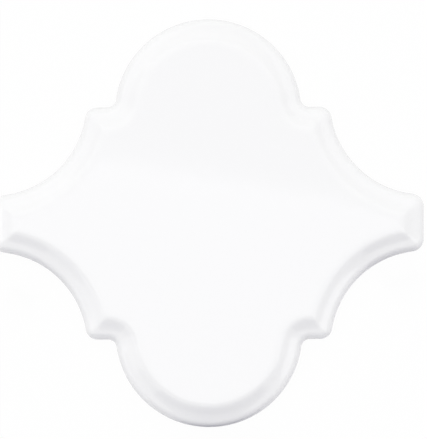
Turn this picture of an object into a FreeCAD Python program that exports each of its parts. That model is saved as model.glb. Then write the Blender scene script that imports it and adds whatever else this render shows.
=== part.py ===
import FreeCAD, Part

import math
import os

from FreeCAD import Placement, Rotation, Vector

# An arabesque wall tile: dust-pressed white clay, glazed and fired as one piece. It lies on its back,
# face up. Two round lobes point along Y and two flat-ended wings along X. Each flank between them is
# hollow, and has a short square shoulder where it meets the lobe, so that the lobes and shoulders of
# neighbouring tiles nest there. A bevel runs round the whole face, and raised ribs on the back hold
# the adhesive. All lengths are millimetres and all angles degrees.

# Outline
tile_width = 150.0          # over the two wing ends
tile_height = 142.2         # over the two lobes
wing_height = 19.7          # of a wing end, were its corners left sharp
shoulder_width = 10.0       # along X, from the side of a lobe to the deepest point of the flank
shoulder_fillet = 3.0       # in the inner corner, between lobe and shoulder
shoulder_corner = 4.2       # on the outer corner, between shoulder and flank
wing_corner = 4.5           # on both corners of a wing end

# Section through the bevel, from the face out to the wall
tile_thickness = 9.0        # from the crowns of the ribs to the face
brow_width = 3.4            # rounded stretch, where the face turns down into the bevel
hollow_width = 2.4          # hollowed stretch, where the bevel eases towards the edge
lip_width = 1.3             # straight stretch before the rolled edge
edge_radius = 3.1           # of the rolled edge, where the glaze runs over
steepest_slope = 26.0       # between brow and hollow
lip_slope = 14.0            # of the lip
face_break = 2.0            # between the brow and the flat face, so that the two don't blend
wall_break = 4.0            # between the rolled edge and the upright wall

# Back
arris_chamfer = 0.6         # along the lower edge, where the tile leaves its mould
back_margin = 6.0           # plain band that follows the outline
rib_pitch = 9.4             # from one rib to the next
rib_width = 3.0             # across the crown of a rib
rib_height = 1.0            # of the crowns over the channels between them
rib_splay = 0.5             # by how much each side of a rib spreads at its foot

# Worked out from the sizes above
half_width = tile_width / 2
half_height = tile_height / 2
# A lobe nests between the flanks of two neighbours, so both have one radius.
lobe_radius = (half_width - shoulder_width) / 2
lobe_centre = Vector(0, half_height - lobe_radius, 0)
flank_centre = Vector(half_width, wing_height / 2 + lobe_radius, 0)
# The shoulders of two neighbours meet halfway between their lobes' centres.
shoulder_y = (lobe_centre.y + flank_centre.y) / 2

overshoot = 1.0             # of a cutting shape past the surface that it cuts
up = Vector(0, 0, 1)


def towards(start, target, distance):
    return start + (target - start).normalize() * distance


def leg(hypotenuse, other_leg):
    return math.sqrt(hypotenuse ** 2 - other_leg ** 2)


class Run:
    """One stretch of the outline: a line, or an arc that bulges out or, if hollow, in."""

    def __init__(self, start, end, centre=None, hollow=False, middle=None):
        self.start = start
        self.end = end
        self.centre = centre
        self.hollow = hollow
        self.middle = middle or (start + end) / 2
        if centre and not middle:
            self.middle = towards(centre, self.middle, (start - centre).Length)

    def mirrored(self, x_sign, y_sign):
        points = [self.start, self.end, self.centre]
        placed = [Vector(p.x * x_sign, p.y * y_sign, 0) if p else None for p in points]
        return Run(*placed, self.hollow)

    def edge(self):
        if self.centre:
            return Part.Arc(self.start, self.middle, self.end).toShape()
        return Part.LineSegment(self.start, self.end).toShape()

    def inward(self):
        """The direction that points square off the outline's start into the tile."""
        if self.centre:
            away = (self.start - self.centre).normalize()
            return away if self.hollow else -away
        across = up.cross(self.end - self.start).normalize()
        return across if across.dot(self.start) < 0 else -across

    def sweep(self, section):
        """Carries a section, drawn as (distance inward, height), along this run."""
        spoke = self.start - self.centre if self.centre else None
        if spoke and not self.hollow:
            # Past the centre of an outward corner no tile is left to sweep through.
            section = section.common(upright_strip(spoke.Length))
        placed = section.copy()
        axes = Rotation(self.inward(), up, self.inward().cross(up), "ZXY")
        placed.Placement = Placement(self.start, axes)
        if spoke:
            to_middle = self.middle - self.centre
            turn = math.degrees(2 * spoke.getAngle(to_middle))
            return placed.revolve(self.centre, spoke.cross(to_middle), turn)
        return placed.extrude(self.end - self.start)


def upright_strip(width):
    """A face in the plane of the bevel's section, this wide from the outline inward."""
    height = tile_thickness + 2 * overshoot
    return Part.makePlane(overshoot + width, height, Vector(-overshoot, -overshoot, 0))


def quarter_outline():
    """The runs where X and Y are positive, from the lobe's side to the corner of the wing end."""
    # The fillet touches the lobe and the shoulder.
    fillet_y = shoulder_y + shoulder_fillet
    fillet_x = leg(lobe_radius + shoulder_fillet, fillet_y - lobe_centre.y)
    fillet_centre = Vector(fillet_x, fillet_y, 0)
    lobe_end = towards(lobe_centre, fillet_centre, lobe_radius)
    shoulder_start = Vector(fillet_x, shoulder_y, 0)

    # The outer corner touches the shoulder and the flank.
    corner_y = shoulder_y - shoulder_corner
    corner_x = half_width - leg(lobe_radius + shoulder_corner, flank_centre.y - corner_y)
    corner_centre = Vector(corner_x, corner_y, 0)
    shoulder_end = Vector(corner_x, shoulder_y, 0)
    flank_start = towards(flank_centre, corner_centre, lobe_radius)

    # The wing's corner touches the flank and the wing end.
    tip_y = flank_centre.y - leg(lobe_radius + wing_corner, wing_corner)
    tip_centre = Vector(half_width - wing_corner, tip_y, 0)
    flank_end = towards(flank_centre, tip_centre, lobe_radius)
    wing_top = Vector(half_width, tip_y, 0)

    return [
        Run(lobe_end, shoulder_start, fillet_centre, hollow=True),
        Run(shoulder_start, shoulder_end),
        Run(shoulder_end, flank_start, corner_centre),
        Run(flank_start, flank_end, flank_centre, hollow=True),
        Run(flank_end, wing_top, tip_centre),
    ]


def outline_runs():
    """Every run of the outline: the quarter and its mirror images, the lobes and the wing ends."""
    quarter = quarter_outline()
    runs = [run.mirrored(x, y) for x in (1, -1) for y in (1, -1) for run in quarter]
    side, wing_top = quarter[0].start, quarter[-1].end
    for sign in (1, -1):
        lobe_top = Vector(0, half_height * sign, 0)
        ends = [Vector(side.x * x, side.y * sign, 0) for x in (1, -1)]
        runs.append(Run(*ends, lobe_centre * sign, middle=lobe_top))
        ends = [Vector(half_width * sign, wing_top.y * y, 0) for y in (1, -1)]
        runs.append(Run(*ends))
    return runs


def bevel_stretches():
    """The bevel from the face out to the wall: each stretch's width and its first and last slope."""
    wall_slope = 90 - wall_break
    edge_width = edge_radius * (
        math.sin(math.radians(wall_slope)) - math.sin(math.radians(lip_slope)))
    return [
        (brow_width, face_break, steepest_slope),
        (hollow_width, steepest_slope, lip_slope),
        (lip_width, lip_slope, lip_slope),
        (edge_width, lip_slope, wall_slope),
    ]


def stretch_edge(start, width, first_slope, last_slope):
    """A line, or an arc between two slopes, that falls from start as it goes outward."""
    # The chord of an arc slopes halfway between the arc's two ends.
    chord_slope = math.radians((first_slope + last_slope) / 2)
    end = start - Vector(width, width * math.tan(chord_slope), 0)
    if first_slope == last_slope:
        return Part.LineSegment(start, end).toShape(), end
    rise = (end - start).Length / 2 * math.tan(math.radians(last_slope - first_slope) / 4)
    off_chord = Vector(-math.sin(chord_slope), math.cos(chord_slope), 0)
    middle = (start + end) / 2 + off_chord * rise
    return Part.Arc(start, middle, end).toShape(), end


def bevel_section():
    """What the bevel takes off the blank, drawn as (distance inward, height)."""
    stretches = bevel_stretches()
    brow_top = Vector(sum(width for width, _, _ in stretches), tile_thickness, 0)
    edges = []
    foot = brow_top
    for stretch in stretches:
        edge, foot = stretch_edge(foot, *stretch)
        edges.append(edge)
    # Both ends run on at the slope that they have there, out of the blank.
    above_brow = brow_top + Vector(overshoot, overshoot * math.tan(math.radians(face_break)), 0)
    below_foot = foot - Vector(overshoot * math.tan(math.radians(wall_break)), overshoot, 0)
    ceiling = tile_thickness + overshoot
    corners = [
        brow_top,
        above_brow,
        Vector(above_brow.x, ceiling, 0),
        Vector(-overshoot, ceiling, 0),
        Vector(-overshoot, below_foot.y, 0),
        below_foot,
        foot,
    ]
    edges += [Part.LineSegment(a, b).toShape() for a, b in zip(corners, corners[1:])]
    return Part.Face(Part.Wire(Part.sortEdges(edges)[0]))


def channel(rib_above, rib_below):
    """One channel of the back, between the middle lines of two ribs, narrower at its floor."""

    def corner(rib, side, height):
        inset = rib_width / 2 + rib_splay / rib_height * height
        return Vector(-tile_width, rib + side * inset, height)

    section = Part.makePolygon([
        corner(rib_above, -1, -overshoot),
        corner(rib_below, 1, -overshoot),
        corner(rib_below, 1, rib_height),
        corner(rib_above, -1, rib_height),
        corner(rib_above, -1, -overshoot),
    ])
    return Part.Face(section).extrude(Vector(2 * tile_width, 0, 0))


def back_channels(outline):
    """The channels of the back, which end at the plain margin. One rib lies on the X axis."""
    field = outline.makeOffset2D(-back_margin, join=2).extrude(up * (rib_height + overshoot))
    field.translate(up * -overshoot)
    ribs_up = math.ceil(half_height / rib_pitch)
    ribs = [count * rib_pitch for count in range(-ribs_up, ribs_up + 1)]
    return field.common([channel(above, below) for below, above in zip(ribs, ribs[1:])])


def arabesque_tile():
    runs = outline_runs()
    outline = Part.Face(Part.Wire(Part.sortEdges([run.edge() for run in runs])[0]))
    blank = outline.extrude(up * tile_thickness)
    foot_edges = [edge for edge in blank.Edges if edge.BoundBox.ZMax < arris_chamfer]
    blank = blank.makeChamfer(arris_chamfer, foot_edges)
    section = bevel_section()
    bevelled = blank.cut([run.sweep(section) for run in runs])
    tile = bevelled.cut(back_channels(outline)).removeSplitter()
    (solid,) = tile.Solids
    return solid


os.makedirs("parts", exist_ok=True)
arabesque_tile().exportStep("parts/arabesque_tile.step")
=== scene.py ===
import math

import bmesh
import bpy
import numpy as np
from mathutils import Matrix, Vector
from mathutils.geometry import delaunay_2d_cdt


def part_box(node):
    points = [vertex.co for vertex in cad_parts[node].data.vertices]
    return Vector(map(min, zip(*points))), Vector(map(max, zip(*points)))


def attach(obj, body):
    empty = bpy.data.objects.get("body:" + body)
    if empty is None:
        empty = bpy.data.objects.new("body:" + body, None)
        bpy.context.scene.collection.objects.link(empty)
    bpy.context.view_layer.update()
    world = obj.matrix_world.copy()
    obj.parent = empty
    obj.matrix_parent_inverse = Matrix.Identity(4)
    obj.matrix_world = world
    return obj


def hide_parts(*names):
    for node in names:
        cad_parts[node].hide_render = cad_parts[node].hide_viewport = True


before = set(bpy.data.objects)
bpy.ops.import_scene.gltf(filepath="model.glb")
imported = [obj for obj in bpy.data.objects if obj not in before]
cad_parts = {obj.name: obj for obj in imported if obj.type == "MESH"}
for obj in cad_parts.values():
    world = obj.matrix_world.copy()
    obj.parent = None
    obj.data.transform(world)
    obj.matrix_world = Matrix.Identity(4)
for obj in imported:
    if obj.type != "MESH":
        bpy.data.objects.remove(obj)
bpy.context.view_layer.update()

# The tile is one piece of white clay, pressed dry in a steel die. Its outline is drawn in one quarter,
# from the top of a lobe to the middle of a wing end, and mirrored. Lobes nest in the hollow flanks of
# the neighbouring tiles, so both have one radius. All lengths are metres.
half_width, half_height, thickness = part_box("arabesque_tile")[1]
wing_height = 0.0197
shoulder_width = 0.0100
shoulder_fillet = 0.0030
shoulder_corner = 0.0042
wing_corner = 0.0045
lobe_radius = (half_width - shoulder_width) / 2
lobe_y = half_height - lobe_radius
flank_y = wing_height / 2 + lobe_radius
shoulder_y = (lobe_y + flank_y) / 2
outline_step = 0.0006
fewest_in_arc = 10
fewest_in_straight = 4
rounding = 1e-9
halvings = 40


class Arc:
    """An arc of the outline between two points. It bulges out of the tile, or is hollow."""

    def __init__(self, centre, start, end, hollow=False):
        self.centre = np.array(centre)
        spokes = np.array([start, end]) - self.centre
        self.radius = np.hypot(*spokes[0])
        self.angles = np.arctan2(spokes[:, 1], spokes[:, 0])
        self.inward = 1 if hollow else -1
        middle = self.angles.mean()
        self.middle = np.array([math.cos(middle), math.sin(middle)])
        self.spread = math.cos(np.ptp(self.angles) / 2) - rounding

    def drawn(self):
        """Points along the arc, without its end, and the directions from them into the tile."""
        pieces = max(fewest_in_arc, round(self.radius * np.ptp(self.angles) / outline_step))
        angles = np.linspace(*self.angles, pieces, endpoint=False)
        spokes = np.column_stack([np.cos(angles), np.sin(angles)])
        return self.centre + self.radius * spokes, spokes * self.inward

    def depth(self, places):
        """How far places lie inward of the arc, or infinity for those that it doesn't face."""
        spokes = places - self.centre
        reach = np.hypot(spokes[..., 0], spokes[..., 1])
        facing = spokes @ self.middle >= reach * self.spread
        return np.where(facing, (reach - self.radius) * self.inward, np.inf)


class Straight:
    """A straight stretch of the outline of the upper right quarter, drawn clockwise."""

    def __init__(self, start, end):
        self.start = np.array(start)
        self.length = math.dist(start, end)
        self.along = (np.array(end) - self.start) / self.length
        self.inward = np.array([self.along[1], -self.along[0]])

    def drawn(self):
        pieces = max(fewest_in_straight, round(self.length / outline_step))
        steps = np.linspace(0, self.length, pieces, endpoint=False)[:, None]
        return self.start + steps * self.along, np.repeat(self.inward[None], pieces, axis=0)

    def depth(self, places):
        away = places - self.start
        along = away @ self.along
        facing = (along >= -rounding) & (along <= self.length + rounding)
        return np.where(facing, away @ self.inward, np.inf)


def leg(hypotenuse, other_leg):
    return math.sqrt(hypotenuse ** 2 - other_leg ** 2)


def towards(start, target, distance):
    away = np.subtract(target, start)
    return start + away / np.hypot(*away) * distance


def quarter_outline():
    lobe = (0, lobe_y)
    fillet_y = shoulder_y + shoulder_fillet
    fillet = (leg(lobe_radius + shoulder_fillet, fillet_y - lobe_y), fillet_y)
    flank = (half_width, flank_y)
    corner_y = shoulder_y - shoulder_corner
    corner = (half_width - leg(lobe_radius + shoulder_corner, flank_y - corner_y), corner_y)
    tip = (half_width - wing_corner, flank_y - leg(lobe_radius + wing_corner, wing_corner))
    lobe_end = towards(lobe, fillet, lobe_radius)
    shoulder = [(fillet[0], shoulder_y), (corner[0], shoulder_y)]
    flank_ends = [towards(flank, corner, lobe_radius), towards(flank, tip, lobe_radius)]
    wing_end = [(half_width, tip[1]), (half_width, 0)]
    return [
        Arc(lobe, (0, half_height), lobe_end),
        Arc(fillet, lobe_end, shoulder[0], hollow=True),
        Straight(*shoulder),
        Arc(corner, shoulder[1], flank_ends[0]),
        Arc(flank, *flank_ends, hollow=True),
        Arc(tip, flank_ends[1], wing_end[0]),
        Straight(*wing_end),
    ]


quarter = quarter_outline()


def depth(places):
    """How far each place in the tile lies from the outline."""
    folded = np.abs(places)
    return np.min([stretch.depth(folded) for stretch in quarter], axis=0)


def whole_outline():
    """Points right round the outline, clockwise, and the directions from them into the tile."""
    points, inward = (np.concatenate(both) for both in zip(*(s.drawn() for s in quarter)))
    points = np.vstack([points, [half_width, 0]])
    inward = np.vstack([inward, [-1, 0]])
    whole = []
    for values in (points, inward):
        right = np.vstack([values, values[-2::-1] * [1, -1]])
        whole.append(np.vstack([right, right[-2:0:-1] * [-1, 1]]))
    return whole


outline, inward = whole_outline()


def reach_inward():
    """How far inward each point of the outline can go and still be the nearest to where it is."""
    near, far = np.zeros(len(outline)), np.full(len(outline), half_height)
    for _ in range(halvings):
        middle = (near + far) / 2
        own = depth(outline + inward * middle[:, None]) >= middle - rounding
        near, far = np.where(own, middle, near), np.where(own, far, middle)
    return near


reach = reach_inward()


def moved_in(distance):
    """The outline moved inward. Where two sides meet before that distance, it has a corner."""
    keeps = reach >= distance
    return outline[keeps] + inward[keeps] * distance


# The bevel is pressed with the tile: a rounded brow, a hollow that eases towards the edge, and a
# narrow lip. The edge then rolls over to the wall. Two bevels meet in a mitre, which the glaze fills
# a little and so rounds.
brow_width = 0.0034
hollow_width = 0.0024
lip_width = 0.0013
edge_radius = 0.0031
steepest_slope = math.radians(26)
lip_slope = math.radians(14)
wall_slope = math.radians(86)
mitre_softness = 0.0009
soft_from = 0.0016
soft_over = 0.0030
soft_rings = ((1 / 3, 6), (2 / 3, 12), (1, 18))
fine_steps = 4000

edge_width = edge_radius * (math.sin(wall_slope) - math.sin(lip_slope))
# Along an arc the sine of the slope changes evenly with the distance.
slope_places = np.cumsum([0, edge_width, lip_width, hollow_width, brow_width])
slope_sines = np.sin([wall_slope, lip_slope, lip_slope, steepest_slope, 0])
bevel_width = slope_places[-1]
fine_places = np.linspace(0, bevel_width, fine_steps)
fine_sines = np.interp(fine_places, slope_places, slope_sines)
fine_slopes = fine_sines / np.sqrt(1 - fine_sines ** 2)
fine_falls = np.diff(fine_places) * (fine_slopes[1:] + fine_slopes[:-1]) / 2
fine_heights = thickness - np.append(np.cumsum(fine_falls[::-1])[::-1], 0)


def bevel_height(inside):
    """Height of the glaze at a distance inside the outline, away from any mitre."""
    return np.interp(inside, fine_places, fine_heights)


def face_height(places):
    """Height of the glaze over each place: the mean of the bevel's within a small circle there."""
    inside = depth(places)
    ease = np.clip((inside - soft_from) / soft_over, 0, 1)
    radius = mitre_softness * ease ** 2 * (3 - 2 * ease)
    total = bevel_height(inside)
    count = 1
    for share, around in soft_rings:
        for turn in range(around):
            angle = math.tau * (turn + share) / around
            shift = np.array([math.cos(angle), math.sin(angle)]) * share
            total = total + bevel_height(depth(places + radius[:, None] * shift))
            count += 1
    return total / count


# The back is left as pressed. Ribs from the die hold the adhesive, inside a plain margin, and the
# lower edge of the wall is chamfered where the tile leaves the die.
arris_chamfer = 0.0006
back_margin = 0.0060
rib_pitch = 0.0094
rib_width = 0.0030
rib_height = 0.0010
rib_splay = 0.0005
channel_end = 0.0003
rib_steps = 1500


def back_height(places):
    off_rib = np.abs((places[:, 1] + rib_pitch / 2) % rib_pitch - rib_pitch / 2) - rib_width / 2
    off_margin = depth(places) - back_margin
    return rib_height * np.clip(np.minimum(off_rib / rib_splay, off_margin / channel_end), 0, 1)


def rib_lines():
    """The edges of the ribs, at crown and foot, from side to side of the back's margin."""
    lines = []
    ribs_up = math.ceil(half_height / rib_pitch)
    across = np.linspace(0, half_width, rib_steps)
    for rib in range(-ribs_up, ribs_up + 1):
        for edge in (rib_width / 2, rib_width / 2 + rib_splay):
            for y in (rib * rib_pitch - edge, rib * rib_pitch + edge):
                inside = depth(np.column_stack([across, np.full(len(across), y)])) > back_margin
                if abs(y) < half_height - back_margin and inside[0]:
                    x = across[np.argmin(inside) - 1]
                    lines.append(np.array([[-x, y], [x, y]]))
    return lines


# Rings of points climb the wall and roll over the edge, as far as the sharpest corner's centre lets
# them. Triangles between closer and closer outlines fill the bevel, the flat face and the back.
wall_rows = 7
roll_rows = 10
lip_rows = 5
corner_clearance = 0.0003
loop_step = 0.00045
face_step = 0.0030
face_clearance = 0.0012
same_point = 1e-7
sharp_edge = math.radians(32)

roll_slopes = np.linspace(wall_slope, lip_slope, roll_rows)
roll_rings = edge_radius * (math.sin(wall_slope) - np.sin(roll_slopes))
last_ring = min(wing_corner, shoulder_corner) - corner_clearance
edge_rings = np.append(roll_rings, np.linspace(edge_width, last_ring, lip_rows)[1:])
bevel_loops = np.arange(last_ring, bevel_width + face_clearance, loop_step)


def face_places():
    """Places in staggered rows over the flat of the face."""
    x, y = np.meshgrid(
        np.arange(-half_width, half_width, face_step),
        np.arange(bevel_width - half_height, half_height - bevel_width, face_step))
    x[1::2] += face_step / 2
    places = np.column_stack([x.ravel(), y.ravel()])
    return places[depth(places) > bevel_loops[-1] + face_clearance]


def raised(places, heights):
    return np.column_stack([places, np.broadcast_to(heights, len(places))])


def add_rings(mesh, rings):
    """Faces between neighbouring rings of points, from the lowest ring up."""
    verts = [[mesh.verts.new(point) for point in ring] for ring in rings]
    for low, high in zip(verts, verts[1:]):
        for k in range(len(low)):
            mesh.faces.new([high[k - 1], high[k], low[k], low[k - 1]])


def fill(mesh, height, loops, lines=(), scattered=()):
    """Triangles that fill the first loop. Every loop and every two-point line has edges along it."""
    edges = []
    start = 0
    for loop in loops:
        edges += [(start + k, start + (k + 1) % len(loop)) for k in range(len(loop))]
        start += len(loop)
    for line in lines:
        edges.append((start, start + 1))
        start += len(line)
    points = [Vector(point) for run in (*loops, *lines, scattered) for point in run]
    border = list(range(len(loops[0])))
    inside_only = 1
    places, _, faces, *_ = delaunay_2d_cdt(points, edges, [border], inside_only, rounding)
    places = np.array([place[:] for place in places])
    verts = [mesh.verts.new(point) for point in raised(places, height(places))]
    for face in faces:
        mesh.faces.new([verts[k] for k in face])


def tile_mesh():
    mesh = bmesh.new()
    wall = np.linspace(arris_chamfer, bevel_height(0), wall_rows)
    rings = [raised(moved_in(arris_chamfer), 0)]
    rings += [raised(outline, height) for height in wall[:-1]]
    rings += [raised(places, face_height(places)) for places in map(moved_in, edge_rings)]
    add_rings(mesh, rings)
    fill(mesh, face_height, [moved_in(d) for d in bevel_loops], scattered=face_places())
    back_loops = (arris_chamfer, back_margin, back_margin + channel_end)
    fill(mesh, back_height, [moved_in(d) for d in back_loops], rib_lines())
    bmesh.ops.remove_doubles(mesh, verts=mesh.verts, dist=same_point)
    bmesh.ops.recalc_face_normals(mesh, faces=mesh.faces)
    made = bpy.data.meshes.new("glazed_tile")
    mesh.to_mesh(made)
    mesh.free()
    made.shade_smooth()
    made.set_sharp_from_angle(angle=sharp_edge)
    return made


tile = bpy.data.objects.new("glazed_tile", tile_mesh())
bpy.context.scene.collection.objects.link(tile)
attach(tile, "root")
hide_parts("arabesque_tile")

# White glaze covers the face and the bevel and runs over the edge. It ends in an uneven line on the
# wall, and its gloss has a faint orange-peel. Below the line the fired clay is bare, matt and grainy.
glaze_white = (0.90, 0.90, 0.90, 1)
glaze_roughness = 0.07
glaze_ior = 1.52
glaze_line = 0.0026
glaze_runs = 0.0012
glaze_rim = 0.00012
peel_rise = 0.000012
clay_dark = (0.70, 0.66, 0.58, 1)
clay_light = (0.78, 0.74, 0.66, 1)
clay_roughness = 0.85
grain_rise = 0.00003


class Recipe:
    """A socket in the recipe of a finish. Sums on it add the nodes that work them out."""

    def __init__(self, tree, socket=None):
        self.tree = tree
        self.socket = socket

    def node(self, kind, settings, inputs, output=0):
        made = self.tree.nodes.new(kind)
        for name, value in settings.items():
            setattr(made, name, value)
        for name, value in inputs.items():
            if isinstance(value, Recipe):
                self.tree.links.new(value.socket, made.inputs[name])
            else:
                made.inputs[name].default_value = value
        return Recipe(self.tree, made.outputs[output] if made.outputs else None)

    def between(self, first, second):
        """A colour from first, where this is 0, to second, where it is 1."""
        colours = {"Factor": self, 6: first, 7: second}
        return self.node("ShaderNodeMix", {"data_type": "RGBA"}, colours, output=2)

    def sum(self, operation, first, second):
        return self.node("ShaderNodeMath", {"operation": operation}, {0: first, 1: second})

    def __add__(self, other):
        return self.sum("ADD", self, other)

    def __radd__(self, other):
        return self.sum("ADD", other, self)

    def __sub__(self, other):
        return self.sum("SUBTRACT", self, other)

    def __rsub__(self, other):
        return self.sum("SUBTRACT", other, self)

    def __mul__(self, other):
        return self.sum("MULTIPLY", self, other)

    def __rmul__(self, other):
        return self.sum("MULTIPLY", other, self)


def finish_of(thing, name):
    """An empty recipe for a new finish of this thing."""
    material = bpy.data.materials.new(name)
    material.use_nodes = True
    material.node_tree.nodes.clear()
    thing.data.materials.clear()
    thing.data.materials.append(material)
    return Recipe(material.node_tree)


finish = finish_of(tile, "white_glaze_on_clay")
place = finish.node("ShaderNodeTexCoord", {}, {}, "Object")
height = finish.node("ShaderNodeSeparateXYZ", {}, {"Vector": place}, "Z")
runs = finish.node("ShaderNodeTexNoise", {}, {"Vector": place, "Scale": 120.0, "Detail": 3.0})
peel = finish.node("ShaderNodeTexNoise", {}, {"Vector": place, "Scale": 220.0, "Detail": 1.0})
grain = finish.node("ShaderNodeTexNoise", {}, {"Vector": place, "Scale": 1400.0, "Detail": 4.0})
glazed = finish.node("ShaderNodeMapRange", {"interpolation_type": "SMOOTHSTEP"}, {
    "Value": height - (glaze_line + glaze_runs * runs), "From Min": -glaze_rim, "From Max": glaze_rim})
relief = glazed * (glaze_rim + peel_rise * peel) + (1 - glazed) * (grain_rise * grain)
surface = finish.node("ShaderNodeBsdfPrincipled", {}, {
    "Base Color": glazed.between(grain.between(clay_dark, clay_light), glaze_white),
    "Roughness": clay_roughness - (clay_roughness - glaze_roughness) * glazed,
    "IOR": glaze_ior,
    "Normal": finish.node("ShaderNodeBump", {}, {"Height": relief, "Distance": 1.0, "Strength": 1.0}),
})
finish.node("ShaderNodeOutputMaterial", {}, {"Surface": surface})

# The tile lies on a large sheet of white card, and takes its place in the middle. The card shows as
# white to the eye and in the glaze, and still takes the tile's shadow.
floor_reach = 3.0
floor_tone = (0.88, 0.88, 0.88, 1)
floor_white = 0.965


def sheet_of_card(name, corners):
    """A flat sheet of card, which belongs to the setting and not to the tile."""
    sheet = bmesh.new()
    sheet.faces.new([sheet.verts.new(corner) for corner in corners])
    mesh = bpy.data.meshes.new(name)
    sheet.to_mesh(mesh)
    sheet.free()
    card = bpy.data.objects.new(name, mesh)
    bpy.context.scene.collection.objects.link(card)
    return card


def seen_directly(recipe):
    """1 where the eye, a reflection or a view through glass meets the surface, and 0 for its light."""
    kinds = ("Is Camera Ray", "Is Glossy Ray", "Is Transmission Ray")
    camera, glossy, through = (recipe.node("ShaderNodeLightPath", {}, {}, kind) for kind in kinds)
    return camera + glossy + through


floor = sheet_of_card("white_card", [
    (-floor_reach, -floor_reach, 0), (floor_reach, -floor_reach, 0),
    (floor_reach, floor_reach, 0), (-floor_reach, floor_reach, 0)])
finish = finish_of(floor, "white_card")
card_tone = finish.node("ShaderNodeBsdfDiffuse", {}, {"Color": floor_tone})
white = finish.node("ShaderNodeEmission", {}, {"Color": (1, 1, 1, 1), "Strength": 1.0})
surface = finish.node("ShaderNodeMixShader", {}, {
    0: seen_directly(finish) * floor_white, 1: card_tone, 2: white})
finish.node("ShaderNodeOutputMaterial", {}, {"Surface": surface})

# The room is white all round. Two soft panels hang over the tile edge to edge, the brighter one towards
# the foot of the picture. Both are turned a little, and the face mirrors the line between them as a
# faint diagonal. A smaller panel stands at the left and lights the bevels that face it.
room_light = 0.836

world = bpy.data.worlds.new("white_room")
bpy.context.scene.world = world
world.use_nodes = True
world.node_tree.nodes.clear()
room = Recipe(world.node_tree)
walls = room.node("ShaderNodeBackground", {}, {
    "Color": (1, 1, 1, 1), "Strength": room_light + (1 - room_light) * seen_directly(room)})
room.node("ShaderNodeOutputWorld", {}, {"Surface": walls})


def hang_panel(name, size, away, tilt, swing, turn, radiance):
    """A flat lamp that faces the tile. It is tilted off the plumb line towards +Y, swung round that
    line, and turned in its own plane, all by degrees."""
    lamp = bpy.data.lights.new(name, "AREA")
    lamp.shape = "RECTANGLE"
    lamp.size, lamp.size_y = size
    lamp.energy = radiance * math.pi * size[0] * size[1]
    panel = bpy.data.objects.new(name, lamp)
    panel.rotation_euler = (-math.radians(tilt), 0, math.radians(swing))
    panel.rotation_euler.rotate_axis("Z", math.radians(turn))
    panel.location = panel.rotation_euler.to_matrix() @ Vector((0, 0, away))
    panel.visible_camera = False
    bpy.context.scene.collection.objects.link(panel)


hang_panel("bright_panel", (2.2, 0.51), away=1.3, tilt=-9, swing=0, turn=-10, radiance=1.12)
hang_panel("weak_panel", (2.2, 0.80), away=1.3, tilt=19, swing=0, turn=-10, radiance=0.48)
hang_panel("left_panel", (0.8, 0.8), away=1.6, tilt=50, swing=105, turn=0, radiance=0.6)

# Dark blue card stands far below the foot of the picture, and low strips of it stand close by, under
# the lower lobe and the wings. The bevel's lower edges face them, and so stand out from the white
# ground. The strips leave no shadow on the floor, and the glaze mirrors only the lobe's.
card_navy = (0.02, 0.016, 0.11, 1)


def upright_card(name, left, right, height):
    """A sheet of dark card that stands on its lower edge. Light and reflections meet it, not the eye."""
    card = sheet_of_card(name, [(*left, 0), (*right, 0), (*right, height), (*left, height)])
    card.visible_camera = False
    finish = finish_of(card, name)
    surface = finish.node("ShaderNodeBsdfDiffuse", {}, {"Color": card_navy})
    finish.node("ShaderNodeOutputMaterial", {}, {"Surface": surface})
    return card


upright_card("dark_card", (-1.10, -1.4), (1.20, -1.4), height=2.0)
lobe_strip = upright_card("lobe_strip", (-0.013, -0.077), (0.025, -0.077), height=0.011)
lobe_strip.visible_shadow = False
for wing_strip in (
        upright_card("left_strip", (-0.0693, -0.0226), (-0.0618, -0.0266), height=0.011),
        upright_card("right_strip", (0.0613, -0.0220), (0.0741, -0.0179), height=0.012)):
    wing_strip.visible_shadow = False
    wing_strip.visible_glossy = False

# The camera looks straight down on the tile, whose left wing just leaves the picture. The photo is
# 427 by 439 pixels, and the tile is 430.2 pixels wide in it.
picture_width, picture_height = 427, 439
tile_in_picture = 430.2
tile_centre_x, tile_centre_y = 208.6, 223.2
camera_turn = math.radians(-0.19)
lens, sensor = 120.0, 36.0
pixel = 2 * half_width / tile_in_picture
eye_height = pixel * picture_height * lens / sensor
camera = bpy.data.cameras.new("camera")
camera.lens = lens
camera.sensor_width = sensor
camera_object = bpy.data.objects.new("camera", camera)
camera_object.location = (
    (picture_width / 2 - tile_centre_x) * pixel,
    (tile_centre_y - picture_height / 2) * pixel,
    bevel_height(0) + eye_height,
)
camera_object.rotation_euler.z = camera_turn
bpy.context.scene.collection.objects.link(camera_object)
bpy.context.scene.camera = camera_object
bpy.context.scene.view_settings.view_transform = "Standard"
